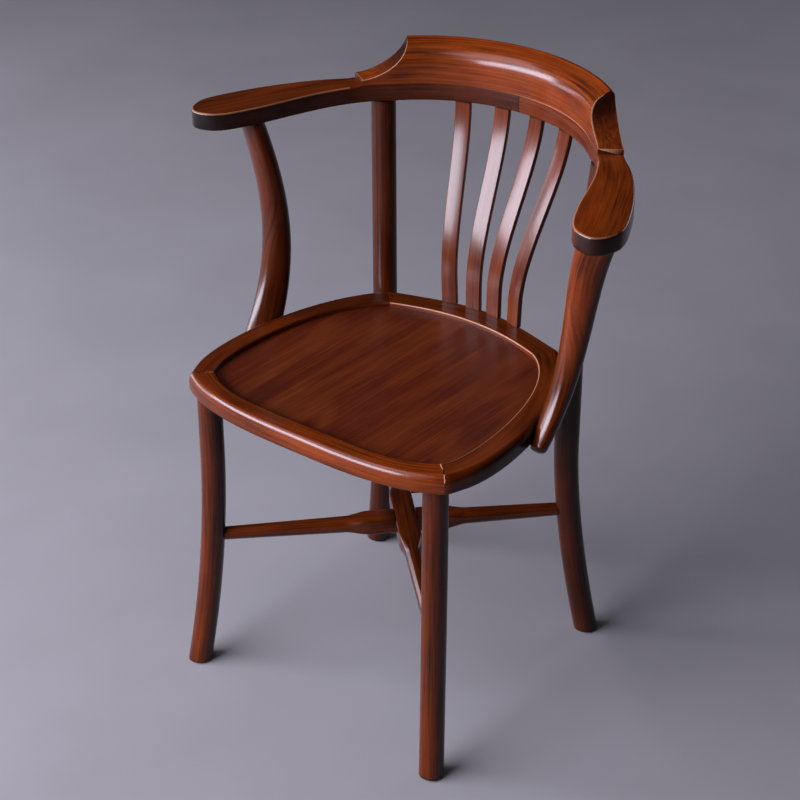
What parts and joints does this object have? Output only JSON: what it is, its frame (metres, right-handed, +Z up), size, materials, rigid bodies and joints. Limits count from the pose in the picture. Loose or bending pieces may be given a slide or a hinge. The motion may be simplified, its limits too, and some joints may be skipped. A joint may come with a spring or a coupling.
{
  "type": "bentwood armchair",
  "caption": "Bentwood armchair with a horseshoe arm rail, crest, bent back slats, sunk plywood seat in a mitred rim, splayed round legs and a crossed stretcher.",
  "frame": {"origin": "on the floor under the middle of the overall box", "axes": "+Z up, the chair faces -Y, X = 0 is the plane of symmetry"},
  "size_m": [0.6546, 0.512, 0.8078],
  "materials": {
    "stained_beech": "red-brown stain under gloss lacquer",
    "veneered_ply": "dark red-brown veneer under gloss lacquer",
    "raw_beech": "bare",
    "zinc_steel": "zinc plated",
    "dark_plastic": "matt"
  },
  "bodies": {
    "root": {"arm_rail_left": "stained_beech", "arm_rail_right": "stained_beech", "arm_support_left": "stained_beech", "arm_support_right": "stained_beech", "back_slat_inner_left": "stained_beech", "back_slat_inner_right": "stained_beech", "back_slat_outer_left": "stained_beech", "back_slat_outer_right": "stained_beech", "block_screw_front_left_1": "zinc_steel", "block_screw_front_left_2": "zinc_steel", "block_screw_front_right_1": "zinc_steel", "block_screw_front_right_2": "zinc_steel", "block_screw_rear_left_1": "zinc_steel", "block_screw_rear_left_2": "zinc_steel", "block_screw_rear_right_1": "zinc_steel", "block_screw_rear_right_2": "zinc_steel", "corner_block_front_left": "stained_beech", "corner_block_front_right": "stained_beech", "corner_block_rear_left": "stained_beech", "corner_block_rear_right": "stained_beech", "crest_dowel_inner_left": "raw_beech", "crest_dowel_inner_right": "raw_beech", "crest_dowel_outer_left": "raw_beech", "crest_dowel_outer_right": "raw_beech", "crest_rail": "stained_beech", "foot_glide_front_left": "dark_plastic", "foot_glide_front_right": "dark_plastic", "foot_glide_rear_left": "dark_plastic", "foot_glide_rear_right": "dark_plastic", "front_leg_left": "stained_beech", "front_leg_right": "stained_beech", "front_leg_screw_left": "zinc_steel", "front_leg_screw_right": "zinc_steel", "leg_dowel_left": "raw_beech", "leg_dowel_right": "raw_beech", "mitre_dowel_front_left": "raw_beech", "mitre_dowel_front_right": "raw_beech", "mitre_dowel_rear_left": "raw_beech", "mitre_dowel_rear_right": "raw_beech", "rail_dowel_inner": "raw_beech", "rail_dowel_outer": "raw_beech", "rear_post_left": "stained_beech", "rear_post_right": "stained_beech", "rear_post_screw_left": "zinc_steel", "rear_post_screw_right": "zinc_steel", "seat_panel": "veneered_ply", "seat_rim_back": "stained_beech", "seat_rim_front": "stained_beech", "seat_rim_left": "stained_beech", "seat_rim_right": "stained_beech", "stretcher_lower": "stained_beech", "stretcher_screw": "zinc_steel", "stretcher_upper": "stained_beech", "support_dowel_left": "raw_beech", "support_dowel_right": "raw_beech", "support_screw_front_left": "zinc_steel", "support_screw_front_right": "zinc_steel", "support_screw_rear_left": "zinc_steel", "support_screw_rear_right": "zinc_steel"}
  },
  "joints": []
}
